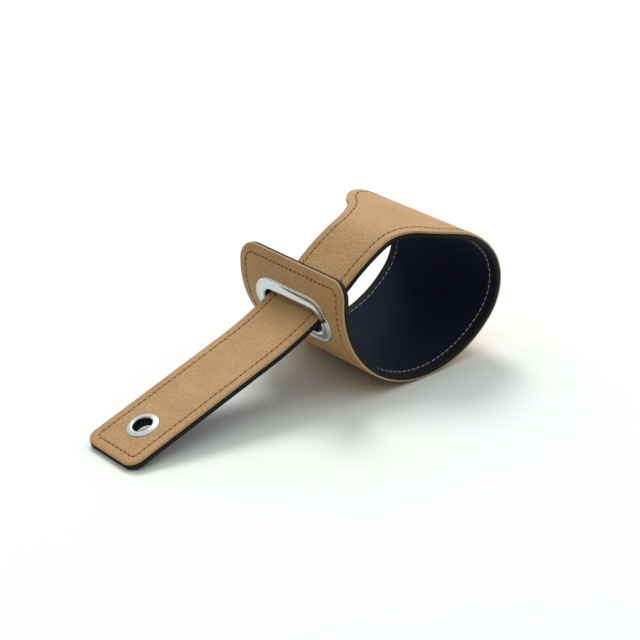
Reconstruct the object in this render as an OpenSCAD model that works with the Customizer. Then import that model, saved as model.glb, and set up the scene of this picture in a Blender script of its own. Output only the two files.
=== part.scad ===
/* [Strap layers] */
// Thickness of the leather
leather_t = 1.2; // [1:0.1:1.6]
// Thickness of the foam padding
foam_t = 2.4; // [1.6:0.1:3.2]
// Thickness of the jersey lining
lining_t = 0.5; // [0.4:0.05:0.8]

/* [Strap outline] */
// Width of the padded band
band_w = 82; // [76:1:99]
// Width of the tail
tail_w = 40; // [33:1:41]
// Corner radius of the ring end
plate_corner_r = 10; // [6:1:13]
// Corner radius of the tail tip
tip_corner_r = 7; // [6:0.5:12]
// Distance along the strap from the ring end to the shoulders
shoulder_start = 218; // [208:1:228]
// Radius of both curves of a shoulder
shoulder_r = 22; // [18:1:27]

/* [Curve of the strap, measured along its leather face] */
// Heading of the strap at the top edge of the ring end, 0 is level
start_angle = -107; // [-110:1:-104]
// Length of the stretch that holds the oval ring
plate_l = 26; // [24:1:32]
// Bend radius of the stretch that holds the oval ring
plate_r = 49; // [44:1:60]
// Length of the stretch down to the floor
belly_l = 77; // [70:1:84]
// Bend radius of the stretch down to the floor
belly_r = 56; // [52:1:62]
// Length of the stretch that rises from the floor
floor_l = 48; // [44:1:54]
// Bend radius of the stretch that rises from the floor
floor_r = 62; // [56:1:68]
// Length of the tight end of the loop
end_l = 40; // [38:1:42]
// Bend radius of the tight end of the loop
end_r = 29.8; // [28:0.2:32]
// Length of the stretch over the crown
crown_l = 36.5; // [34:0.5:40]
// Bend radius over the crown
crown_r = 43; // [40:1:47]
// Length of the stretch behind the crown
back_l = 31.5; // [29:0.5:34]
// Bend radius behind the crown
back_r = 53.6; // [50:0.2:58]
// Length of the stretch that leads to the neck
lead_l = 23; // [20:1:26]
// Bend radius of the stretch that leads to the neck
lead_r = 120; // [100:5:150]
// Length of the neck, which bends the other way
neck_l = 61; // [56:1:66]
// Bend radius of the neck
neck_r = 182; // [170:2:220]
// Length of the straight tail
tail_l = 89; // [80:1:107]

/* [Oval ring] */
// Distance from the top edge of the ring end to the ring's centre
ring_at = 28; // [24:0.5:30]
// Clearance beside the tail, on each side, when it passes through the ring
tail_side_clearance = 2.5; // [1.5:0.25:4]
// Clearance over the strap's thickness when the tail passes through the ring
tail_height_clearance = 9.4; // [7.9:0.1:10.9]
// Width of the ring's flange round the opening
ring_flange_w = 6.8; // [5:0.1:7]
// Thickness of the ring's flange
ring_flange_t = 0.9; // [0.6:0.1:1.2]
// Wall of the ring's barrel
ring_wall = 0.8; // [0.6:0.1:1]

/* [Round eyelet] */
// Distance from the tail tip to the eyelet's centre
eyelet_from_tip = 22.6; // [18:0.2:28]
// Radius of the eyelet's hole
eyelet_r = 5; // [4:0.1:6]
// Wall of the eyelet's barrel
eyelet_wall = 0.6; // [0.5:0.1:0.8]
// Outer radius of the eyelet's flange
eyelet_flange_r = 8.5; // [7.6:0.1:10.5]
// Thickness of the eyelet's flange
eyelet_flange_t = 0.9; // [0.6:0.1:1.2]

/* [Seam] */
// Distance of the seam from the strap's edge
seam_inset = 5; // [4:0.1:5.5]
// Width of the thread
thread_w = 0.6; // [0.4:0.1:0.8]
// Depth of the thread in the leather or the lining
thread_t = 0.3; // [0.2:0.05:0.35]

/* [Bending lines] */
// Distance along the strap to the fold behind the ring end
fold_at = 78; // [72:1:84]
// Distance along the strap to the bend where the tail leaves the ring
tail_bend_at = 330; // [327:1:334]
// Distance along the strap to the bend in the middle of the tail
tip_bend_at = 378; // [370:1:384]
// Clear gap at a bending line
bend_gap = 0.3; // [0.2:0.05:0.4]
// Angle by which each bending line may close on the lining side
bend_relief = 13; // [10:1:15]

/* [Hidden] */

// Depths below the leather face
foam_top = leather_t;
lining_top = foam_top + foam_t;
strap_t = lining_top + lining_t;

// Each stretch of the strap: its length and its bend radius, where 0 is straight
BENDS = [
    [plate_l, plate_r],
    [belly_l, belly_r],
    [floor_l, floor_r],
    [end_l, end_r],
    [crown_l, crown_r],
    [back_l, back_r],
    [lead_l, lead_r],
    [neck_l, -neck_r],
    [tail_l, 0]
];
function sum(list, i = 0) = i == len(list) ? 0 : list[i] + sum(list, i + 1);
strap_l = sum([for (b = BENDS) b[0]]);
eyelet_at = strap_l - eyelet_from_tip;

// Width and height of the oval ring's opening, which the tail passes through
slot_w = tail_w + 2 * tail_side_clearance;
slot_h = strap_t + tail_height_clearance;

// From the ring end to here the outline is cut from the side, past here from above
plate_trim_to = plate_l;
top_trim_from = plate_l + belly_l + floor_l + end_l;

// The curve is faceted at these steps along the strap, the same ones in every layer
station_step = 3;
// Length of the cutters, more than the strap is wide or high
cutter_l = 300;
// Trimmed layers start this much wider than the band
spare_w = 2;

// A place on the leather face is [x, z, heading]
function move(p, l, r) =
    r == 0
    ? [p[0] + l * cos(p[2]), p[1] + l * sin(p[2]), p[2]]
    : let (a = p[2] + l / r * 180 / PI)
      [p[0] + r * (sin(a) - sin(p[2])), p[1] - r * (cos(a) - cos(p[2])), a];
function walk(s, i, p) =
    i == len(BENDS) - 1 || s <= BENDS[i][0]
    ? move(p, s, BENDS[i][1])
    : walk(s - BENDS[i][0], i + 1, move(p, BENDS[i][0], BENDS[i][1]));
function raw_point(s, depth) =
    let (p = walk(s, 0, [0, 0, start_angle]))
    [p[0] - depth * sin(p[2]), p[1] + depth * cos(p[2])];

// The origin lies under the middle of the strap, on the floor
RAW = concat(
    [for (s = [0 : 1 : strap_l]) raw_point(s, 0)],
    [raw_point(strap_l, 0), raw_point(strap_l, strap_t)]
);
raw_mid = (max([for (p = RAW) p[0]]) + min([for (p = RAW) p[0]])) / 2;
raw_low = min([for (p = RAW) p[1]]);
START = [-raw_mid, -raw_low, start_angle];
function station(i, depth) =
    let (p = walk(i * station_step, 0, START))
    [p[0] - depth * sin(p[2]), p[1] + depth * cos(p[2])];
function point(s, depth) =
    let (i = floor(s / station_step), part = s / station_step - i)
    station(i, depth) * (1 - part) + station(i + 1, depth) * part;
function points(a, b, depth) =
    let (first = floor(a / station_step) + 1, last = ceil(b / station_step) - 1)
    concat(
        [point(a, depth)],
        last < first ? [] : [for (i = [first : last]) station(i, depth)],
        [point(b, depth)]
    );
function reverse(list) = [for (i = [len(list) - 1 : -1 : 0]) list[i]];

// Half the strap's width at a distance along it, for an outline moved in by e
shoulder_turn = acos(1 - (band_w - tail_w) / (4 * shoulder_r));
shoulder_end = shoulder_start + 2 * shoulder_r * sin(shoulder_turn);
function arc_y(r, d) = sqrt(max(0, r * r - d * d));
function half_w(s, e) =
    s < plate_corner_r
    ? band_w / 2 - plate_corner_r + arc_y(plate_corner_r - e, plate_corner_r - s)
    : s < shoulder_start
    ? band_w / 2 - e
    : s < shoulder_start + (shoulder_r - e) * sin(shoulder_turn)
    ? band_w / 2 - shoulder_r + arc_y(shoulder_r - e, s - shoulder_start)
    : s < shoulder_end
    ? tail_w / 2 + shoulder_r - arc_y(shoulder_r + e, shoulder_end - s)
    : s < strap_l - tip_corner_r
    ? tail_w / 2 - e
    : tail_w / 2 - tip_corner_r + arc_y(tip_corner_r - e, s - strap_l + tip_corner_r);

// A layer of the strap between two depths and two distances along it.
// Its far end leans back by the relief angle, so that the next body can bend towards the lining.
module layer(a, b, top, bottom, w = band_w + spare_w, relief = 0) {
    upper = points(a, b - top * tan(relief), top);
    lower = points(a, b - bottom * tan(relief), bottom);
    rotate([90, 0, 0])
        linear_extrude(w, center = true)
            polygon(concat(upper, reverse(lower)));
}

// The outline of the ring end at one depth, moved in by e, extruded along X
module plate_trim(e, depth) {
    r = plate_corner_r - e;
    edge = concat([for (t = [0 : 9 : 90]) plate_corner_r - r * cos(t)], [plate_trim_to + 1]);
    half = [for (s = edge) [half_w(s, e), point(s, depth)[1]]];
    mirrored = [for (p = half) [-p[0], p[1]]];
    rotate([90, 0, 90])
        linear_extrude(cutter_l, center = true)
            polygon(concat(half, reverse(mirrored)));
}

// The outline of the shoulders, the neck and the tail at one depth, moved in by e, extruded along Z
module top_trim(e, depth) {
    r = tip_corner_r - e;
    steps = 2 * ceil((shoulder_end - shoulder_start) / station_step);
    edge = concat(
        [top_trim_from - 1],
        [for (i = [0 : steps]) shoulder_start + (shoulder_end - shoulder_start) * i / steps],
        [for (t = [0 : 9 : 90]) strap_l - tip_corner_r + r * sin(t)]
    );
    half = [for (s = edge) [point(s, depth)[0], half_w(s, e)]];
    mirrored = [for (p = half) [p[0], -p[1]]];
    linear_extrude(cutter_l, center = true)
        polygon(concat(half, reverse(mirrored)));
}

// A layer cut to the strap's outline, moved in by e
module ply(a, b, top, bottom, e = 0, relief = 0) {
    if (a < plate_trim_to)
        intersection() {
            layer(a, plate_trim_to, top, bottom);
            plate_trim(e, top);
        }
    if (a < top_trim_from && b > plate_trim_to)
        layer(
            max(a, plate_trim_to), min(b, top_trim_from), top, bottom,
            band_w - 2 * e, b < top_trim_from ? relief : 0
        );
    if (b > top_trim_from)
        intersection() {
            layer(max(a, top_trim_from), b, top, bottom, band_w + spare_w, relief);
            top_trim(e, top);
        }
}

// One run of thread all round the strap's edge
module seam(a, b, top, relief) {
    difference() {
        ply(a, b, top, top + thread_t, seam_inset - thread_w / 2, relief);
        ply(a, b, top, top + thread_t, seam_inset + thread_w / 2, relief);
    }
}

// Places its children on the leather face, with +Z into the strap and X along it
module on_strap(s) {
    p = point(s, 0);
    rotate_y = -walk(s, 0, START)[2];
    translate([p[0], 0, p[1]])
        rotate([0, rotate_y, 0])
            children();
}

module oval(w, h) {
    square([h, w - h], center = true);
    for (side = [-1, 1])
        translate([0, side * (w - h) / 2])
            circle(d = h, $fn = 48);
}
// A straight prism of the ring's oval, this much larger all round than its opening
module ring_prism(margin) {
    on_strap(ring_at)
        linear_extrude(4 * strap_t, center = true)
            oval(slot_w + 2 * margin, slot_h + 2 * margin);
}
// The part of a layer that lies round the ring, inside its flange's outline
module ring_layer(top, bottom, margin) {
    reach = slot_h / 2 + ring_flange_w + 1;
    difference() {
        intersection() {
            layer(ring_at - reach, ring_at + reach, top, bottom);
            ring_prism(margin);
        }
        ring_prism(0);
    }
}
module ring_hole() {
    ring_prism(ring_wall);
}
module eyelet_hole() {
    on_strap(eyelet_at)
        cylinder(h = 4 * strap_t, r = eyelet_r + eyelet_wall, center = true, $fn = 64);
}
// A ring of the eyelet between two depths and two radii
module eyelet_ring(top, bottom, inner_r, outer_r) {
    on_strap(eyelet_at)
        translate([0, 0, top])
            difference() {
                cylinder(h = bottom - top, r = outer_r, $fn = 64);
                translate([0, 0, -1])
                    cylinder(h = bottom - top + 2, r = inner_r, $fn = 64);
            }
}

// Where each body starts and ends along the strap, and its relief for bending
half_gap = bend_gap / 2;
PLATE = [0, fold_at - half_gap, bend_relief];
CUFF = [fold_at + half_gap, tail_bend_at - half_gap, bend_relief];
TAIL = [tail_bend_at + half_gap, tip_bend_at - half_gap, bend_relief];
TIP = [tip_bend_at + half_gap, strap_l, 0];

module leather(body) {
    color("#C69C6D")
        difference() {
            ply(body[0], body[1], 0, foam_top, 0, body[2]);
            seam(body[0], body[1], 0, body[2]);
            children();
        }
}
module foam(body) {
    color("#17171A")
        difference() {
            ply(body[0], body[1], foam_top, lining_top, 0, body[2]);
            children();
        }
}
module lining(body) {
    color("#14162B")
        difference() {
            ply(body[0], body[1], lining_top, strap_t, 0, body[2]);
            seam(body[0], body[1], strap_t - thread_t, body[2]);
            children();
        }
}
module top_seam(body) {
    color("#5A4030")
        seam(body[0], body[1], 0, body[2]);
}
module bobbin_seam(body) {
    color("#B8B4AC")
        seam(body[0], body[1], strap_t - thread_t, body[2]);
}

module plate_leather() { leather(PLATE) ring_hole(); }
module plate_foam() { foam(PLATE) ring_hole(); }
module plate_lining() { lining(PLATE) ring_hole(); }
module plate_top_seam() { top_seam(PLATE); }
module plate_bobbin_seam() { bobbin_seam(PLATE); }

module cuff_leather() { leather(CUFF); }
module cuff_foam() { foam(CUFF); }
module cuff_lining() { lining(CUFF); }
module cuff_top_seam() { top_seam(CUFF); }
module cuff_bobbin_seam() { bobbin_seam(CUFF); }

module tail_leather() { leather(TAIL); }
module tail_foam() { foam(TAIL); }
module tail_lining() { lining(TAIL); }
module tail_top_seam() { top_seam(TAIL); }
module tail_bobbin_seam() { bobbin_seam(TAIL); }

module tip_leather() { leather(TIP) eyelet_hole(); }
module tip_foam() { foam(TIP) eyelet_hole(); }
module tip_lining() { lining(TIP) eyelet_hole(); }
module tip_top_seam() { top_seam(TIP); }
module tip_bobbin_seam() { bobbin_seam(TIP); }

// The oval ring's flange lies on the leather and its barrel goes through the strap
module oval_ring_face() {
    color("#C9CED0") {
        ring_layer(-ring_flange_t, 0, ring_flange_w);
        ring_layer(-ring_flange_t, strap_t + ring_flange_t, ring_wall);
    }
}
// The washer lies on the lining, round the end of the barrel
module oval_ring_washer() {
    color("#B4B9BC")
        difference() {
            ring_layer(strap_t, strap_t + ring_flange_t, ring_flange_w);
            ring_hole();
        }
}
module eyelet_face() {
    color("#C9CED0") {
        eyelet_ring(-eyelet_flange_t, 0, eyelet_r, eyelet_flange_r);
        eyelet_ring(-eyelet_flange_t, strap_t + eyelet_flange_t, eyelet_r, eyelet_r + eyelet_wall);
    }
}
module eyelet_washer() {
    color("#B4B9BC")
        eyelet_ring(strap_t, strap_t + eyelet_flange_t, eyelet_r + eyelet_wall, eyelet_flange_r);
}

plate_leather();
plate_foam();
plate_lining();
plate_top_seam();
plate_bobbin_seam();
cuff_leather();
cuff_foam();
cuff_lining();
cuff_top_seam();
cuff_bobbin_seam();
tail_leather();
tail_foam();
tail_lining();
tail_top_seam();
tail_bobbin_seam();
tip_leather();
tip_foam();
tip_lining();
tip_top_seam();
tip_bobbin_seam();
oval_ring_face();
oval_ring_washer();
eyelet_face();
eyelet_washer();
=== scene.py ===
import math
import bpy
import bmesh
from mathutils import Matrix, Vector


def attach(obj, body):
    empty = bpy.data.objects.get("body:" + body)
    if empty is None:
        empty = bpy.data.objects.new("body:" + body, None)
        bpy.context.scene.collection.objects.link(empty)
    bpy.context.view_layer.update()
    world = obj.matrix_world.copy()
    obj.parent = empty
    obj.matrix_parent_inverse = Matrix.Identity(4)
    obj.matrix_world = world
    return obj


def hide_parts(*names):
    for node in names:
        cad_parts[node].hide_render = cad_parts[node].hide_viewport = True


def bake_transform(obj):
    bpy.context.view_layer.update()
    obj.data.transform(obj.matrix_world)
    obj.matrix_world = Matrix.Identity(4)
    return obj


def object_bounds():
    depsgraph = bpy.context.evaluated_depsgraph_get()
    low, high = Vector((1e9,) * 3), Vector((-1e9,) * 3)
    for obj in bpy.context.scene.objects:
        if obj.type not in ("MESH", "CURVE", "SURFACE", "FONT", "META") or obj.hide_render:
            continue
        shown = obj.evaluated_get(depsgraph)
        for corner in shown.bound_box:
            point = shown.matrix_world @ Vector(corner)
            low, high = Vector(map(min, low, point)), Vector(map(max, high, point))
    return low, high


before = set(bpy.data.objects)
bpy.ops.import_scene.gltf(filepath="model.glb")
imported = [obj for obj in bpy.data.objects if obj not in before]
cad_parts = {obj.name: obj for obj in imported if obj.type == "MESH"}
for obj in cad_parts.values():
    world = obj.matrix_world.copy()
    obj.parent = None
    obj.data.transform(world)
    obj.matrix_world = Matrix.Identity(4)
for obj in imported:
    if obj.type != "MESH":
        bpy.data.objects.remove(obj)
cad_box = [list(corner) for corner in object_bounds()]
mm = 0.001


# ---------------------------------------------------------------- camera
# A long lens stands a metre away, a little above the strap and off the loop's open end.
camera_azimuth = math.radians(-38.97)
camera_elevation = math.radians(25.63)
camera_roll = math.radians(-1.87)
camera_distance = 1.0265
camera_aim = Vector((0.0225, 0.0003, 0.0300))

back = Vector((
    math.sin(camera_azimuth) * math.cos(camera_elevation),
    -math.cos(camera_azimuth) * math.cos(camera_elevation),
    math.sin(camera_elevation),
))
level = Vector((math.cos(camera_azimuth), math.sin(camera_azimuth), 0))
upright = back.cross(level)
right = math.cos(camera_roll) * level + math.sin(camera_roll) * upright
up = math.cos(camera_roll) * upright - math.sin(camera_roll) * level
lens = bpy.data.cameras.new("camera")
lens.lens = 112.5
lens.sensor_width = 36
lens.clip_end = 20
camera = bpy.data.objects.new("camera", lens)
bpy.context.scene.collection.objects.link(camera)
turn = Matrix((right, up, back)).transposed().to_4x4()
camera.matrix_world = Matrix.Translation(camera_aim + back * camera_distance) @ turn
bpy.context.scene.camera = camera


# ---------------------------------------------------------------- pattern and curve of the strap
# The strap is cut flat, from the rounded ring end over two soft shoulders to the tail's tip, and
# is then bent along its length. Every layer, seam and ring below is laid out on this pattern
# (distance along, distance across, depth below the leather face) and bent by strap_point.
band_w = 82 * mm
tail_w = 40 * mm
plate_corner_r = 10 * mm
tip_corner_r = 7 * mm
shoulder_start = 218 * mm
shoulder_r = 22 * mm
shoulder_turn = math.acos(1 - (band_w - tail_w) / (4 * shoulder_r))
shoulder_end = shoulder_start + 2 * shoulder_r * math.sin(shoulder_turn)
leather_t = 1.2 * mm
foam_t = 2.4 * mm
lining_t = 0.5 * mm
lining_top = leather_t + foam_t
strap_t = lining_top + lining_t
start_heading = math.radians(-107)
# Each stretch of the strap: its length and its bend radius, where none is straight
bends = [
    (26 * mm, 49 * mm),
    (77 * mm, 56 * mm),
    (48 * mm, 62 * mm),
    (40 * mm, 29.8 * mm),
    (36.5 * mm, 43 * mm),
    (31.5 * mm, 53.6 * mm),
    (23 * mm, 120 * mm),
    (61 * mm, -182 * mm),
    (89 * mm, None),
]
strap_l = sum(length for length, radius in bends)
ring_at = 28 * mm
slot_w = 45 * mm
slot_h = 13.5 * mm
eyelet_at = strap_l - 22.6 * mm
eyelet_r = 5 * mm


def strap_course(s):
    """x, z and heading of the leather face at a distance along the strap, from its start."""
    x, z, heading = 0.0, 0.0, start_heading
    for length, radius in bends:
        part = s if (s <= length or radius is None) else length
        if radius is None:
            x += part * math.cos(heading)
            z += part * math.sin(heading)
        else:
            turned = heading + part / radius
            x += radius * (math.sin(turned) - math.sin(heading))
            z -= radius * (math.cos(turned) - math.cos(heading))
            heading = turned
        s -= length
        if s <= 0:
            break
    return x, z, heading


# The course is placed so that it touches the right and the bottom of the CAD model's box
course_steps = 864
course = [strap_course(strap_l * i / course_steps) for i in range(course_steps + 1)]
tip_low = course[-1][1] + strap_t * math.cos(course[-1][2])
course_x = cad_box[1][0] - max(p[0] for p in course)
course_z = cad_box[0][2] - min(min(p[1] for p in course), tip_low)


def strap_frame(s):
    """The place on the leather face at s, and the directions along the strap and out of the leather."""
    x, z, heading = strap_course(s)
    place = Vector((x + course_x, 0, z + course_z))
    along = Vector((math.cos(heading), 0, math.sin(heading)))
    outward = Vector((math.sin(heading), 0, -math.cos(heading)))
    return place, along, outward


def strap_point(s, y, depth):
    place, along, outward = strap_frame(s)
    return place + Vector((0, y, 0)) - outward * depth


def half_width(s):
    """Half the strap's width at s, without its rounded corners."""
    if s < shoulder_start:
        return band_w / 2
    if s < shoulder_start + shoulder_r * math.sin(shoulder_turn):
        return band_w / 2 - shoulder_r + math.sqrt(shoulder_r ** 2 - (s - shoulder_start) ** 2)
    if s < shoulder_end:
        return tail_w / 2 + shoulder_r - math.sqrt(shoulder_r ** 2 - (shoulder_end - s) ** 2)
    return tail_w / 2


def edge_point(s, inset):
    """The outline's point that belongs to s, moved in square to the edge: along and across."""
    if s < plate_corner_r:
        t = math.acos(max(-1, min(1, 1 - s / plate_corner_r)))
        r = plate_corner_r - inset
        return plate_corner_r - r * math.cos(t), band_w / 2 - plate_corner_r + r * math.sin(t)
    if s > strap_l - tip_corner_r:
        t = math.acos(max(-1, min(1, 1 - (strap_l - s) / tip_corner_r)))
        r = tip_corner_r - inset
        return strap_l - tip_corner_r + r * math.cos(t), tail_w / 2 - tip_corner_r + r * math.sin(t)
    step = 0.25 * mm
    slope = (half_width(s + step) - half_width(s - step)) / (2 * step)
    slant = math.hypot(1, slope)
    return s + inset * slope / slant, half_width(s) - inset / slant


# Three pieces share each layer, so that each one holds no more than one bending line
piece_cuts = [0, 108 * mm, 354 * mm, strap_l]
piece_names = ["ring_end", "loop", "tail"]
piece_bends = [
    ("ring_end", "cuff", 78 * mm),
    ("cuff", "tail", 330 * mm),
    ("tail", "tip", 378 * mm),
]
# Length each side of a bending line; bend_with_strap looks up the strap's points there but does not use
# them
bend_reach = 12 * mm


def bend_with_strap(piece, index):
    """Bakes the piece's placement into its mesh. The joint's two bodies and the strap's points each side
    of its bending line are looked up but not used.
    """
    first, second, line = piece_bends[index]
    start = strap_point(line - bend_reach, 0, 0)
    end = strap_point(line + bend_reach, 0, 0)
    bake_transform(piece)


# Rows of vertices along the strap: close together round the corners and at the cuts
row_step = 1.5 * mm
least_row_step = 0.6 * mm
cut_row_step = 0.2 * mm
corner_step = 6
stations = set()
for corner_r, edge_at, hand in ((plate_corner_r, 0, 1), (tip_corner_r, strap_l, -1)):
    for angle in range(0, 91, corner_step):
        stations.add(round(edge_at + hand * corner_r * (1 - math.cos(math.radians(angle))), 7))
for cut in piece_cuts[1:-1]:
    stations.update([cut - cut_row_step, cut, cut + cut_row_step])
between_corners = strap_l - plate_corner_r - tip_corner_r
step_count = round(between_corners / row_step)
for i in range(1, step_count):
    s = plate_corner_r + between_corners * i / step_count
    if min(abs(s - other) for other in stations) > least_row_step:
        stations.add(s)
stations = sorted(stations)
# Columns between the two edge bands, from -1 to 1 across the strap
column_steps = 28
columns = [2 * j / column_steps - 1 for j in range(1, column_steps)]
# The band round the edge reaches this far in
edge_band = 6.4 * mm


def rim(inset):
    """The closed outline moved in by inset: places (along, across), starting at the tip's left."""
    ring_end_half = edge_point(stations[0], edge_band)[1]
    tip_half = edge_point(stations[-1], edge_band)[1]
    sides = [edge_point(s, inset) for s in stations]
    places = [(along, -across) for along, across in reversed(sides)]
    places += [(sides[0][0], u * ring_end_half) for u in columns]
    places += sides
    places += [(sides[-1][0], u * tip_half) for u in reversed(columns)]
    return places


# ---------------------------------------------------------------- leather
# The outer face is one piece of soft tan grained cowhide, 1.2 mm thick, glued and stitched to
# the foam. Its cut edge is raw and pale. The other layers are made in the same way.

# The openings in the layers are this much larger than those in the metal, under its flanges
ring_margin = 2.2 * mm
eyelet_margin = 1.3 * mm


def in_opening(s, y):
    """Whether a place on the pattern lies in the opening for the oval ring or the eyelet."""
    beyond_straight = max(abs(y) - (slot_w - slot_h) / 2, 0)
    in_ring = math.hypot(s - ring_at, beyond_straight) < slot_h / 2 + ring_margin
    return in_ring or math.hypot(s - eyelet_at, y) < eyelet_r + eyelet_margin


def make_layer(name, profile, edge_from, edge_to):
    """Three closed pieces of one layer. The profile runs from the middle of the outer face over
    the edge to the middle of the inner face as (inset, depth). The stretch of it from edge_from
    to edge_to is the cut edge, and has the second material."""
    rows, across = len(stations), len(columns) + 2
    count = 2 * rows + 2 * len(columns)
    points, pattern, faces, kinds = [], [], [], []
    for inset, depth in profile:
        for s, y in rim(inset):
            points.append(strap_point(s, y, depth))
            pattern.append((s, y))
    for k in range(len(profile) - 1):
        for i in range(count):
            j = (i + 1) % count
            faces.append((k * count + i, (k + 1) * count + i, (k + 1) * count + j, k * count + j))
            kinds.append(1 if edge_from <= k < edge_to else 0)
    # The two broad faces between the bands
    for k, flip in ((0, False), (len(profile) - 1, True)):
        depth = profile[k][1]
        grid = {}
        for i in range(rows):
            s, half = edge_point(stations[i], edge_band)
            grid[(i, 0)] = k * count + rows - 1 - i
            grid[(i, across - 1)] = k * count + rows + len(columns) + i
            for j, u in enumerate(columns):
                if i == 0:
                    grid[(i, j + 1)] = k * count + rows + j
                elif i == rows - 1:
                    grid[(i, j + 1)] = k * count + 2 * rows + 2 * len(columns) - 1 - j
                else:
                    grid[(i, j + 1)] = len(points)
                    points.append(strap_point(s, u * half, depth))
                    pattern.append((s, u * half))
        open_cells = set()
        for i in range(rows - 1):
            for j in range(across - 1):
                quad = (grid[(i, j)], grid[(i, j + 1)], grid[(i + 1, j + 1)], grid[(i + 1, j)])
                s = sum(pattern[v][0] for v in quad) / 4
                y = sum(pattern[v][1] for v in quad) / 4
                if in_opening(s, y):
                    open_cells.add((i, j))
                    continue
                faces.append(quad[::-1] if flip else quad)
                kinds.append(0)
        if k == 0:
            top_grid = grid
        else:
            # Walls of the openings, hidden under the metal flanges
            for i, j in open_cells:
                for (ni, nj), a, b in (
                    ((i - 1, j), (i, j), (i, j + 1)),
                    ((i + 1, j), (i + 1, j + 1), (i + 1, j)),
                    ((i, j - 1), (i + 1, j), (i, j)),
                    ((i, j + 1), (i, j + 1), (i + 1, j + 1)),
                ):
                    if (ni, nj) not in open_cells:
                        faces.append((top_grid[a], grid[a], grid[b], top_grid[b]))
                        kinds.append(1)
    pieces = []
    for index in range(3):
        low, high = piece_cuts[index], piece_cuts[index + 1]
        chosen = []
        for f, kind in zip(faces, kinds):
            middle = sum(pattern[v][0] for v in f) / 4
            if low <= middle < high:
                chosen.append((f, kind))
        mesh = bmesh.new()
        uv_layer = mesh.loops.layers.uv.new("pattern")
        made = {}
        for f, kind in chosen:
            for v in f:
                if v not in made:
                    made[v] = mesh.verts.new(points[v])
            new = mesh.faces.new([made[v] for v in f])
            new.smooth = True
            new.material_index = kind
            for loop, v in zip(new.loops, f):
                loop[uv_layer].uv = pattern[v]
        caps = bmesh.ops.holes_fill(mesh, edges=[e for e in mesh.edges if e.is_boundary], sides=0)
        for cap in caps["faces"]:
            cap.material_index = 1
            for e in cap.edges:
                e.smooth = False
        bmesh.ops.recalc_face_normals(mesh, faces=mesh.faces)
        data = bpy.data.meshes.new(name + "_" + piece_names[index])
        mesh.to_mesh(data)
        mesh.free()
        piece = bpy.data.objects.new(data.name, data)
        bpy.context.scene.collection.objects.link(piece)
        pieces.append(piece)
    return pieces


# The seam pulls the face in along a shallow groove round the edge: inset and depth in millimetres
seam_groove = [(6.4, 0), (5.8, 0.02), (5.4, 0.10), (5.2, 0.22), (5.0, 0.28),
               (4.8, 0.22), (4.6, 0.10), (4.2, 0.02), (3.4, 0), (2.4, 0), (1.5, 0.015)]


def colour(code):
    """An sRGB hex colour as the linear values that shaders use."""
    channels = [int(code[i:i + 2], 16) / 255 for i in (1, 3, 5)]
    linear = [c / 12.92 if c <= 0.04045 else ((c + 0.055) / 1.055) ** 2.4 for c in channels]
    return (*linear, 1)


def add_node(tree, kind, sockets=None, **settings):
    """Adds a node. A socket is given a value, or another node's output to link to."""
    node = tree.nodes.new(kind)
    for key, value in settings.items():
        setattr(node, key, value)
    for key, value in (sockets or {}).items():
        if isinstance(value, bpy.types.NodeSocket):
            tree.links.new(value, node.inputs[key])
        else:
            node.inputs[key].default_value = value
    return node


def add(material, kind, sockets=None, **settings):
    return add_node(material.node_tree, kind, sockets, **settings)


def new_material(name, **shader):
    """A material with one Principled shader. Its sockets are given as in add."""
    material = bpy.data.materials.new(name)
    material.use_nodes = True
    material.node_tree.nodes.clear()
    sockets = {key.replace("_", " "): value for key, value in shader.items()}
    surface = add(material, "ShaderNodeBsdfPrincipled", sockets)
    add(material, "ShaderNodeOutputMaterial", {"Surface": surface.outputs["BSDF"]})
    material["surface"] = surface.name
    return material


def to_surface(material, socket, output):
    surface = material.node_tree.nodes[material["surface"]]
    material.node_tree.links.new(output, surface.inputs[socket])


def grain(material, scale_mm, detail=2, roughness=0.5, source=None):
    """Noise whose features are about scale_mm across, in the object's own coordinates."""
    vector = source or add(material, "ShaderNodeTexCoord").outputs["Object"]
    noise = add(material, "ShaderNodeTexNoise", {
        "Vector": vector, "Scale": 1 / (scale_mm * mm), "Detail": detail, "Roughness": roughness,
    })
    return noise.outputs["Fac"]


def between(material, factor, low, high, start=0.0, end=1.0):
    """A colour from low to high as factor goes from start to end."""
    limits = add(material, "ShaderNodeMapRange", {"Value": factor, "From Min": start, "From Max": end})
    mix = add(material, "ShaderNodeMix", data_type="RGBA")
    material.node_tree.links.new(limits.outputs["Result"], mix.inputs["Factor"])
    mix.inputs["A"].default_value = colour(low)
    mix.inputs["B"].default_value = colour(high)
    return mix.outputs["Result"]


def relief(material, height, distance_mm, strength=1.0, under=None):
    """A bump from a height that goes from 0 to 1 over distance_mm."""
    sockets = {"Height": height, "Distance": distance_mm * mm, "Strength": strength}
    if under is not None:
        sockets["Normal"] = under
    return add(material, "ShaderNodeBump", sockets).outputs["Normal"]


tan_leather = new_material("tan grained leather", Roughness=0.52, Specular_IOR_Level=0.3)
# Pebbles about a millimetre across, with fine creases between and slow wrinkles
place = add(tan_leather, "ShaderNodeTexCoord").outputs["Object"]
waver = add(tan_leather, "ShaderNodeTexNoise", {"Vector": place, "Scale": 900.0, "Detail": 2.0})
wavered = add(tan_leather, "ShaderNodeVectorMath", {
    0: waver.outputs["Color"], "Scale": 0.5 * mm}, operation="SCALE")
shifted = add(tan_leather, "ShaderNodeVectorMath", {
    0: place, 1: wavered.outputs["Vector"]}, operation="ADD")
pebbles = add(tan_leather, "ShaderNodeTexVoronoi", {
    "Vector": shifted.outputs["Vector"], "Scale": 1 / (0.98 * mm)}, feature="SMOOTH_F1")
pebble_height = add(tan_leather, "ShaderNodeMath", {
    0: 1.0, 1: pebbles.outputs["Distance"]}, operation="SUBTRACT")
wrinkles = relief(tan_leather, grain(tan_leather, 5, 3), 0.5, 0.6)
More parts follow.
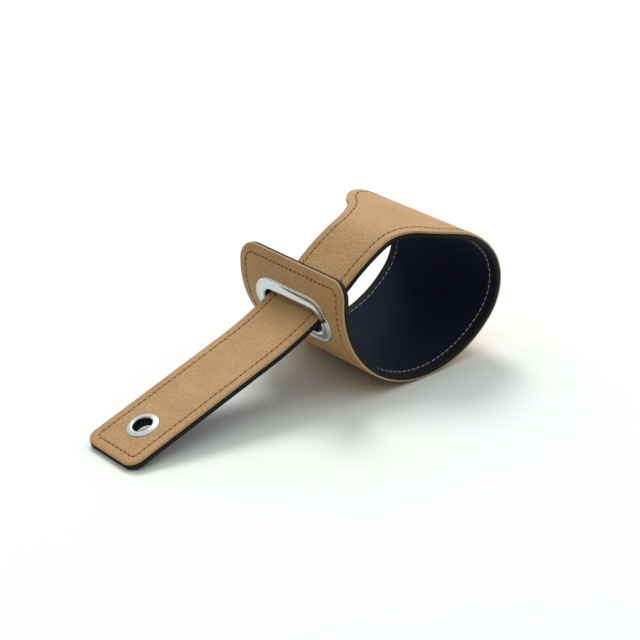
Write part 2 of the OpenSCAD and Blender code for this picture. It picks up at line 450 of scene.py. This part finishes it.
# Fine creases run along the strap where the ring end is held in its bend
flat = add(tan_leather, "ShaderNodeUVMap", uv_map="pattern").outputs["UV"]
drawn_out = add(tan_leather, "ShaderNodeVectorMath", {
    0: flat, 1: (0.16, 1.0, 1.0)}, operation="MULTIPLY")
creases = grain(tan_leather, 1.1, 2, 0.5, drawn_out.outputs["Vector"])
along_strap = add(tan_leather, "ShaderNodeSeparateXYZ", {"Vector": flat}).outputs["X"]
near_ring = add(tan_leather, "ShaderNodeMapRange", {
    "Value": along_strap, "From Min": 0.05, "From Max": 0.09, "To Min": 0.75, "To Max": 0.0})
creased = add(tan_leather, "ShaderNodeBump", {
    "Height": creases, "Distance": 0.3 * mm, "Normal": wrinkles,
    "Strength": near_ring.outputs["Result"],
})
pores = relief(tan_leather, grain(tan_leather, 0.4, 2), 0.03, 0.4, creased.outputs["Normal"])
pebbled = relief(tan_leather, pebble_height.outputs["Value"], 0.26, 0.8, pores)
to_surface(tan_leather, "Normal", pebbled)
blotches = grain(tan_leather, 22, 4, 0.6)
shade = between(tan_leather, blotches, "#B28652", "#BE925F", 0.35, 0.65)
# Painted shade: the colour darkens towards #8A5F3A in the creases between the pebbles
crease_shade = add(tan_leather, "ShaderNodeMix", data_type="RGBA", blend_type="MULTIPLY")
crease_shade_amount = add(tan_leather, "ShaderNodeMapRange", {
    "Value": pebbles.outputs["Distance"], "From Min": 0.35, "From Max": 0.75,
    "To Min": 0.0, "To Max": 0.2,
})
tan_leather.node_tree.links.new(crease_shade_amount.outputs["Result"], crease_shade.inputs["Factor"])
tan_leather.node_tree.links.new(shade, crease_shade.inputs["A"])
crease_shade.inputs["B"].default_value = colour("#8A5F3A")
to_surface(tan_leather, "Base Color", crease_shade.outputs["Result"])

raw_leather = new_material("raw leather edge", Roughness=0.85)
fibres = grain(raw_leather, 0.25, 4, 0.7)
to_surface(raw_leather, "Base Color", between(raw_leather, fibres, "#A88B65", "#CBB48F", 0.35, 0.65))
to_surface(raw_leather, "Normal", relief(raw_leather, fibres, 0.08, 0.7))

# Down over the rounded cut edge to the foam, in the same terms as the groove
leather_profile = [(e * mm, d * mm) for e, d in seam_groove + [
    (0.9, 0.06), (0.45, 0.17), (0.2, 0.3), (0.05, 0.46), (0.0, 0.62),
    (0.0, 0.85), (0.02, 1.1), (0.1, 1.2), (1.5, 1.2), (6.4, 1.2)]]
leather_nodes = [["plate_leather"], ["cuff_leather"], ["tail_leather", "tip_leather"]]
for index, piece in enumerate(make_layer("leather", leather_profile, edge_from=13, edge_to=20)):
    piece.data.materials.append(tan_leather)
    piece.data.materials.append(raw_leather)
    bend_with_strap(piece, index)
    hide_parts(*leather_nodes[index])


# ---------------------------------------------------------------- foam
# Black closed-cell foam, 2.4 mm thick, fills the strap and shows as a dark line at the edge,
# where it swells a little between the leather and the lining.
black_foam = new_material("black foam", Roughness=0.9)
cells = grain(black_foam, 0.3, 3, 0.6)
to_surface(black_foam, "Base Color", between(black_foam, cells, "#08080A", "#161618", 0.35, 0.65))
to_surface(black_foam, "Normal", relief(black_foam, cells, 0.1, 0.8))

foam_profile = [(e * mm, d * mm) for e, d in [
    (6.4, 1.2), (1.5, 1.2), (0.1, 1.21), (-0.08, 1.4), (-0.2, 1.8), (-0.24, 2.4),
    (-0.2, 3.0), (-0.08, 3.4), (0.1, 3.59), (1.5, 3.6), (6.4, 3.6)]]
foam_nodes = [["plate_foam"], ["cuff_foam"], ["tail_foam", "tip_foam"]]
for index, piece in enumerate(make_layer("foam", foam_profile, edge_from=0, edge_to=10)):
    piece.data.materials.append(black_foam)
    piece.data.materials.append(black_foam)
    bend_with_strap(piece, index)
    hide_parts(*foam_nodes[index])


# ---------------------------------------------------------------- lining
# A very dark navy jersey, half a millimetre thick, is bonded to the foam. Its knit runs along
# the strap in fine ribs.
navy_jersey = new_material(
    "navy jersey", Roughness=0.9, Specular_IOR_Level=0.2, Sheen_Weight=0.03, Sheen_Roughness=0.4,
    Sheen_Tint=colour("#8089B0"))
pattern_uv = add(navy_jersey, "ShaderNodeUVMap", uv_map="pattern").outputs["UV"]
# A wave texture of scale 1 repeats every 2 pi / 20
wave_repeat = 2 * math.pi / 20
knit = add(navy_jersey, "ShaderNodeTexWave", {
    "Vector": pattern_uv, "Scale": wave_repeat / (0.62 * mm), "Distortion": 0.0,
}, wave_type="BANDS", bands_direction="Y")
courses = add(navy_jersey, "ShaderNodeTexWave", {
    "Vector": pattern_uv, "Scale": wave_repeat / (0.5 * mm), "Distortion": 0.0,
}, wave_type="BANDS", bands_direction="X")
ribs = relief(navy_jersey, knit.outputs["Fac"], 0.08, 0.6)
loops = relief(navy_jersey, courses.outputs["Fac"], 0.04, 0.5, ribs)
fuzz = grain(navy_jersey, 0.4, 4, 0.7)
to_surface(navy_jersey, "Normal", relief(navy_jersey, fuzz, 0.06, 0.5, loops))
to_surface(navy_jersey, "Base Color", between(navy_jersey, fuzz, "#090C1C", "#141A36", 0.3, 0.7))

# Outside the seam the jersey is pressed hard against the foam and looks almost black
pressed_jersey = new_material("pressed jersey edge", Roughness=0.85, Specular_IOR_Level=0.3)
pressed_fuzz = grain(pressed_jersey, 0.35, 3, 0.6)
to_surface(pressed_jersey, "Base Color", between(
    pressed_jersey, pressed_fuzz, "#07080C", "#12141C", 0.3, 0.7))
to_surface(pressed_jersey, "Normal", relief(pressed_jersey, pressed_fuzz, 0.06, 0.6))

lining_profile = [(e * mm, d * mm) for e, d in [
    (6.4, 3.6), (1.5, 3.6), (0.1, 3.61), (0.0, 3.75), (0.02, 3.92), (0.15, 4.05), (0.5, 4.1)]]
lining_profile += [(e * mm, strap_t - d * mm) for e, d in reversed(seam_groove)]
lining_nodes = [["plate_lining"], ["cuff_lining"], ["tail_lining", "tip_lining"]]
for index, piece in enumerate(make_layer("lining", lining_profile, edge_from=2, edge_to=13)):
    piece.data.materials.append(navy_jersey)
    piece.data.materials.append(pressed_jersey)
    bend_with_strap(piece, index)
    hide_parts(*lining_nodes[index])


# ---------------------------------------------------------------- stitches
# One lockstitch seam runs all round, 5 mm in from the edge: dark brown thread on the leather and
# a pale bobbin thread on the lining, 3.25 mm to a stitch. Each stitch dips into its needle holes.
def thread_material(name, dark, light):
    material = new_material(name, Roughness=0.65)
    twist = grain(material, 0.18, 2)
    to_surface(material, "Base Color", between(material, twist, dark, light, 0.35, 0.65))
    to_surface(material, "Normal", relief(material, twist, 0.05, 0.7))
    return material


stitch_tree = bpy.data.node_groups.new("row of stitches", "GeometryNodeTree")
stitch_tree.interface.new_socket("Path", in_out="INPUT", socket_type="NodeSocketGeometry")
stitch_inputs = {}
for label, socket_type in (
    ("Count", "NodeSocketInt"),
    ("Stitch length", "NodeSocketFloat"),
    ("Thread radius", "NodeSocketFloat"),
    ("Dip", "NodeSocketFloat"),
    ("Thread", "NodeSocketMaterial"),
    ("Half pitch", "NodeSocketFloat"),
    ("Hole radius", "NodeSocketFloat"),
    ("Hole", "NodeSocketMaterial"),
):
    item = stitch_tree.interface.new_socket(label, in_out="INPUT", socket_type=socket_type)
    stitch_inputs[label] = item.identifier
stitch_tree.interface.new_socket("Stitches", in_out="OUTPUT", socket_type="NodeSocketGeometry")


def stitch_node(kind, sockets=None, **settings):
    return add_node(stitch_tree, kind, sockets, **settings)


given = stitch_node("NodeGroupInput").outputs


def times(value, factor):
    return stitch_node("ShaderNodeMath", {0: value, 1: factor}, operation="MULTIPLY").outputs[0]


half = times(given["Stitch length"], 0.5)
other_half = times(half, -1.0)
dip = times(given["Dip"], -1.0)
first = stitch_node("ShaderNodeCombineXYZ", {"X": other_half, "Z": dip}).outputs["Vector"]
middle = stitch_node("ShaderNodeCombineXYZ", {"Z": given["Dip"]}).outputs["Vector"]
last = stitch_node("ShaderNodeCombineXYZ", {"X": half, "Z": dip}).outputs["Vector"]
arch = stitch_node("GeometryNodeCurveQuadraticBezier", {
    "Resolution": 6, "Start": first, "Middle": middle, "End": last}).outputs["Curve"]
section = stitch_node("GeometryNodeCurvePrimitiveCircle", {
    "Resolution": 8, "Radius": given["Thread radius"]}).outputs["Curve"]
stitch = stitch_node("GeometryNodeCurveToMesh", {
    "Curve": arch, "Profile Curve": section, "Fill Caps": True}).outputs["Mesh"]
line = stitch_node("GeometryNodeMeshToCurve", {"Mesh": given["Path"]}).outputs["Curve"]
holes = stitch_node("GeometryNodeResampleCurve", {
    "Curve": line, "Count": given["Count"]}).outputs["Curve"]
face_up = stitch_node("GeometryNodeInputNamedAttribute", {"Name": "up"}, data_type="FLOAT_VECTOR")
run = stitch_node("GeometryNodeInputTangent").outputs["Tangent"]
lie = stitch_node("FunctionNodeAxesToRotation", {
    "Primary Axis": face_up.outputs["Attribute"], "Secondary Axis": run,
}, primary_axis="Z", secondary_axis="X").outputs["Rotation"]
placed = stitch_node("GeometryNodeInstanceOnPoints", {
    "Points": holes, "Instance": stitch, "Rotation": lie}).outputs["Instances"]
dyed = stitch_node("GeometryNodeSetMaterial", {
    "Geometry": placed, "Material": given["Thread"]}).outputs["Geometry"]
# A needle hole lies half a stitch further on, as a small dark bead set into the face: painted shade for
# the hollow of the hole
between_stitches = stitch_node("ShaderNodeVectorMath", {
    0: run, "Scale": given["Half pitch"]}, operation="SCALE")
moved = stitch_node("GeometryNodeSetPosition", {
    "Geometry": holes, "Offset": between_stitches.outputs["Vector"]})
bead = stitch_node("GeometryNodeMeshUVSphere", {
    "Segments": 10, "Rings": 6, "Radius": given["Hole radius"]}).outputs["Mesh"]
flattened = stitch_node("GeometryNodeTransform", {
    "Geometry": bead, "Scale": (1.15, 0.9, 0.5)}).outputs["Geometry"]
beads = stitch_node("GeometryNodeInstanceOnPoints", {
    "Points": moved.outputs["Geometry"], "Instance": flattened, "Rotation": lie}).outputs["Instances"]
darkened = stitch_node("GeometryNodeSetMaterial", {
    "Geometry": beads, "Material": given["Hole"]}).outputs["Geometry"]
both = stitch_node("GeometryNodeJoinGeometry")
stitch_tree.links.new(dyed, both.inputs[0])
stitch_tree.links.new(darkened, both.inputs[0])
realized = stitch_node("GeometryNodeRealizeInstances", {
    "Geometry": both.outputs[0]}).outputs["Geometry"]
stitch_node("NodeGroupOutput", {"Stitches": realized})

stitch_pitch = 3.25 * mm
stitch_length = 2.5 * mm
stitch_dip = 0.28 * mm
thread_r = 0.3 * mm
thread_depth = 0.12 * mm
needle_hole_r = 0.48 * mm
# Nearest that a row of stitches comes to the cut between two pieces
stitch_to_cut = 2 * mm
seam_line = rim(5 * mm)


def make_stitches(name, places, depth, side, thread):
    """A row of stitches over the places, at one depth. side is 1 on the leather, -1 on the lining."""
    path = bpy.data.meshes.new(name)
    path.from_pydata(
        [strap_point(s, y, depth) for s, y in places],
        [(i, i + 1) for i in range(len(places) - 1)], [])
    ups = path.attributes.new("up", "FLOAT_VECTOR", "POINT")
    for i, (s, y) in enumerate(places):
        ups.data[i].vector = strap_frame(s)[2] * side
    carrier = bpy.data.objects.new(name, path)
    bpy.context.scene.collection.objects.link(carrier)
    corners = [vertex.co.copy() for vertex in path.vertices]
    length = sum(math.dist(a, b) for a, b in zip(corners, corners[1:]))
    modifier = carrier.modifiers.new("row of stitches", "NODES")
    modifier.node_group = stitch_tree
    modifier[stitch_inputs["Count"]] = max(2, round(length / stitch_pitch) + 1)
    modifier[stitch_inputs["Stitch length"]] = stitch_length
    modifier[stitch_inputs["Thread radius"]] = thread_r
    modifier[stitch_inputs["Dip"]] = stitch_dip
    modifier[stitch_inputs["Thread"]] = thread
    modifier[stitch_inputs["Half pitch"]] = stitch_pitch / 2
    modifier[stitch_inputs["Hole radius"]] = needle_hole_r
    modifier[stitch_inputs["Hole"]] = needle_hole_shade
    bpy.context.view_layer.update()
    evaluated = carrier.evaluated_get(bpy.context.evaluated_depsgraph_get())
    made = bpy.data.meshes.new_from_object(evaluated)
    bpy.data.objects.remove(carrier)
    for polygon in made.polygons:
        polygon.use_smooth = True
    return made


top_thread = thread_material("brown thread", "#946A42", "#B88E62")
# Painted shade: the needle holes are dark brown beads standing for the shade in each hole
needle_hole_shade = new_material("needle hole", Base_Color=colour("#24160E"), Roughness=1.0)
bobbin_thread = thread_material("pale grey thread", "#9C978E", "#C9C5BC")
seam_nodes = {
    "top": [["plate_top_seam"], ["cuff_top_seam"], ["tail_top_seam", "tip_top_seam"]],
    "bobbin": [["plate_bobbin_seam"], ["cuff_bobbin_seam"], ["tail_bobbin_seam", "tip_bobbin_seam"]],
}
for label, depth, side, thread in (
    ("top", thread_depth, 1, top_thread),
    ("bobbin", strap_t - thread_depth, -1, bobbin_thread),
):
    for index in range(3):
        low = piece_cuts[index] + (stitch_to_cut if index else 0)
        high = piece_cuts[index + 1] - (stitch_to_cut if index < 2 else 0)
        # The seam line breaks into runs where it leaves this piece
        runs, current = [], []
        for place in seam_line + seam_line[:1]:
            if low <= place[0] <= high:
                current.append(place)
            elif current:
                runs.append(current)
                current = []
        if current:
            runs.append(current)
        # The line starts at the tip, so the tail's two runs are one
        if index == 2:
            runs = [runs[-1][:-1] + runs[0]]
        joined = bmesh.new()
        for run_index, places in enumerate(runs):
            row = make_stitches(f"{label}_row_{index}_{run_index}", places, depth, side, thread)
            joined.from_mesh(row)
            finishes = list(row.materials)
            bpy.data.meshes.remove(row)
        data = bpy.data.meshes.new(f"{label}_stitches_{piece_names[index]}")
        joined.to_mesh(data)
        joined.free()
        for finish in finishes:
            data.materials.append(finish)
        piece = bpy.data.objects.new(data.name, data)
        bpy.context.scene.collection.objects.link(piece)
        bend_with_strap(piece, index)
        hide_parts(*seam_nodes[label][index])


# ---------------------------------------------------------------- oval ring and round eyelet
# Both are pressed from sheet metal and nickel plated: a rolled flange lies on the leather, its
# barrel goes through the strap and is rolled over a washer on the lining.
def through_strap(centre, x, y, depth):
    """The place at a depth in the strap that lies square behind (x, y), measured flat at centre."""
    place, along, outward = strap_frame(centre)
    s = centre + x
    for i in range(4):
        s += x - (strap_point(s, y, depth) - place).dot(along)
    return strap_point(s, y, depth)


straight_steps = 16


def oval_outline(half_straight, radius, count):
    """Points round a slot that is long across the strap: (x, y, and the direction out of it)."""
    outline = []
    for side in (1, -1):
        for i in range(count + 1):
            angle = math.pi * i / count
            direction = Vector((side * math.cos(angle), side * math.sin(angle)))
            y = side * (half_straight + radius * math.sin(angle))
            outline.append((side * radius * math.cos(angle), y, direction))
        if half_straight:
            for i in range(1, straight_steps):
                y = side * half_straight * (1 - 2 * i / straight_steps)
                outline.append((-side * radius, y, Vector((-side, 0))))
        else:
            outline.pop()
    return outline


def make_ring(name, centre, outline, profile, material):
    """A closed ring: the profile swept round the outline. The profile is the offset from the
    opening's edge and the depth below the leather face, in millimetres."""
    mesh = bmesh.new()
    loops = []
    for x, y, direction in outline:
        loops.append([
            mesh.verts.new(through_strap(
                centre, x + direction.x * offset * mm, y + direction.y * offset * mm, depth * mm))
            for offset, depth in profile
        ])
    for i, loop in enumerate(loops):
        following = loops[(i + 1) % len(loops)]
        for j in range(len(profile)):
            k = (j + 1) % len(profile)
            face = mesh.faces.new((loop[j], following[j], following[k], loop[k]))
            face.smooth = True
            # The wall of the barrel, between its two rolled ends, gets the painted shade metal
            depth = (profile[j][1] + profile[k][1]) / 2
            face.material_index = 1 if 0.25 < depth < 4.7 and profile[j][0] < 0.1 else 0
    bmesh.ops.recalc_face_normals(mesh, faces=mesh.faces)
    for e in mesh.edges:
        if e.calc_face_angle(0) > math.radians(50):
            e.smooth = False
    data = bpy.data.meshes.new(name)
    mesh.to_mesh(data)
    mesh.free()
    data.materials.append(material)
    data.materials.append(barrel_shade_metal)
    ring = bpy.data.objects.new(name, data)
    bpy.context.scene.collection.objects.link(ring)
    return ring


def metal(name, tone, rough):
    material = new_material(name, Metallic=1.0, Roughness=rough)
    haze = grain(material, 5, 4, 0.6)
    spread = add(material, "ShaderNodeMapRange", {
        "Value": haze, "From Min": 0.3, "From Max": 0.7, "To Min": rough * 0.7, "To Max": rough * 1.5})
    to_surface(material, "Roughness", spread.outputs["Result"])
    material.node_tree.nodes[material["surface"]].inputs["Base Color"].default_value = colour(tone)
    to_surface(material, "Normal", relief(material, grain(material, 2.5, 2), 0.01, 0.2))
    return material


bright_nickel = metal("polished nickel", "#C6CACA", 0.18)
dull_nickel = metal("nickel washer", "#B9BBBA", 0.26)
# Painted shade: the inside of the barrels is a dull dark metal standing for the shade that falls there
barrel_shade_metal = metal("barrel painted shade", "#3A3938", 0.5)

ring_outline = oval_outline((slot_w - slot_h) / 2, slot_h / 2, 28)
ring_profile = [
    (6.75, 0.02), (6.8, -0.25), (6.65, -0.55), (6.3, -0.75), (5.9, -0.78), (5.5, -0.64), (4.9, -0.44),
    (4.0, -0.34), (3.1, -0.44), (2.3, -0.68), (1.6, -0.85), (1.0, -0.82), (0.5, -0.55), (0.15, -0.05),
    (0.02, 0.5), (0.0, 1.0), (0.0, 4.5), (0.08, 4.8), (0.3, 4.97), (0.6, 4.97), (0.8, 4.8),
    (0.8, 4.1), (0.8, 0.02)]
ring_washer_profile = [
    (0.85, 4.1), (6.8, 4.1), (6.78, 4.35), (6.5, 4.6), (5.6, 4.82), (4.0, 4.93), (2.2, 4.9), (0.85, 4.78)]
oval_ring = make_ring("oval_ring", ring_at, ring_outline, ring_profile, bright_nickel)
oval_washer = make_ring("oval_washer", ring_at, ring_outline, ring_washer_profile, dull_nickel)
eyelet_outline = oval_outline(0, eyelet_r, 32)
eyelet_profile = [
    (3.45, 0.02), (3.5, -0.1), (3.35, -0.28), (2.8, -0.46), (2.1, -0.66), (1.5, -0.82), (1.0, -0.9),
    (0.5, -0.82), (0.14, -0.5), (0.02, 0.0), (0.0, 0.6), (0.0, 4.5), (0.08, 4.8), (0.3, 4.96),
    (0.55, 4.8), (0.6, 4.1), (0.6, 0.02)]
eyelet_washer_profile = [
    (0.65, 4.1), (3.5, 4.1), (3.45, 4.4), (3.1, 4.7), (2.3, 4.88), (1.3, 4.9), (0.65, 4.78)]
eyelet = make_ring("round_eyelet", eyelet_at, eyelet_outline, eyelet_profile, bright_nickel)
eyelet_washer = make_ring(
    "eyelet_washer_ring", eyelet_at, eyelet_outline, eyelet_washer_profile, dull_nickel)
for ring, body, node, slot in (
    (oval_ring, "ring_end", "oval_ring_face", "bright_metal"),
    (oval_washer, "ring_end", "oval_ring_washer", "dull_metal"),
    (eyelet, "tip", "eyelet_face", "bright_metal"),
    (eyelet_washer, "tip", "eyelet_washer", "dull_metal"),
):
    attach(ring, body)
    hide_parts(node)


# ---------------------------------------------------------------- floor and light
# A white paper sheet lies just under the strap. One large lamp stands high behind the right and
# makes the soft shadow, a weak one fills from the left, and the studio's own light does the rest.
floor_gap = 0.1 * mm
floor_mesh = bpy.data.meshes.new("floor")
floor_mesh.from_pydata([(-3, -3, 0), (3, -3, 0), (3, 3, 0), (-3, 3, 0)], [], [(0, 1, 2, 3)])
floor_mesh.transform(Matrix.Translation((0, 0, cad_box[0][2] - floor_gap)))
floor = bpy.data.objects.new("floor", floor_mesh)
bpy.context.scene.collection.objects.link(floor)
floor_mesh.materials.append(new_material(
    "white paper floor", Base_Color=colour("#F4F4F2"), Roughness=0.9))


def soft_light(name, place, aim, size, power, tint="#FFFFFF"):
    data = bpy.data.lights.new(name, "AREA")
    data.shape = "DISK"
    data.size = size
    data.energy = power
    data.color = colour(tint)[:3]
    light = bpy.data.objects.new(name, data)
    light.location = place
    light.rotation_euler = (Vector(aim) - Vector(place)).to_track_quat("-Z", "Y").to_euler()
    bpy.context.scene.collection.objects.link(light)
    return light


soft_light("key", (0.9, 1.6, 2.5), (0, 0, 0.03), 1.2, 47)
soft_light("fill", (-1.8, -0.6, 2.6), (0, 0, 0.03), 1.8, 1.5)

world = bpy.data.worlds.new("studio")
world.use_nodes = True
bpy.context.scene.world = world
world.node_tree.nodes.clear()
seen = add(world, "ShaderNodeLightPath")
# The studio's light comes mostly from above and behind the right, and fades towards the left
direction = add(world, "ShaderNodeTexCoord").outputs["Generated"]
towards = add(world, "ShaderNodeVectorMath", {
    0: direction, 1: (0.45, 0.35, 0.82)}, operation="DOT_PRODUCT")
fade = add(world, "ShaderNodeMapRange", {
    "Value": towards.outputs["Value"], "From Min": -0.3, "From Max": 0.8,
    "To Min": 0.04, "To Max": 1.0,
}, interpolation_type="SMOOTHSTEP")
ambient = add(world, "ShaderNodeBackground", {
    "Color": (0.93, 1.0, 0.96, 1), "Strength": fade.outputs["Result"]})
# The camera sees a plain white background
white = add(world, "ShaderNodeBackground", {"Color": (1, 1, 1, 1), "Strength": 1.0})
choice = add(world, "ShaderNodeMixShader", {
    "Fac": seen.outputs["Is Camera Ray"],
    1: ambient.outputs["Background"], 2: white.outputs["Background"],
})
add(world, "ShaderNodeOutputWorld", {"Surface": choice.outputs["Shader"]})
bpy.context.scene.view_settings.view_transform = "Standard"
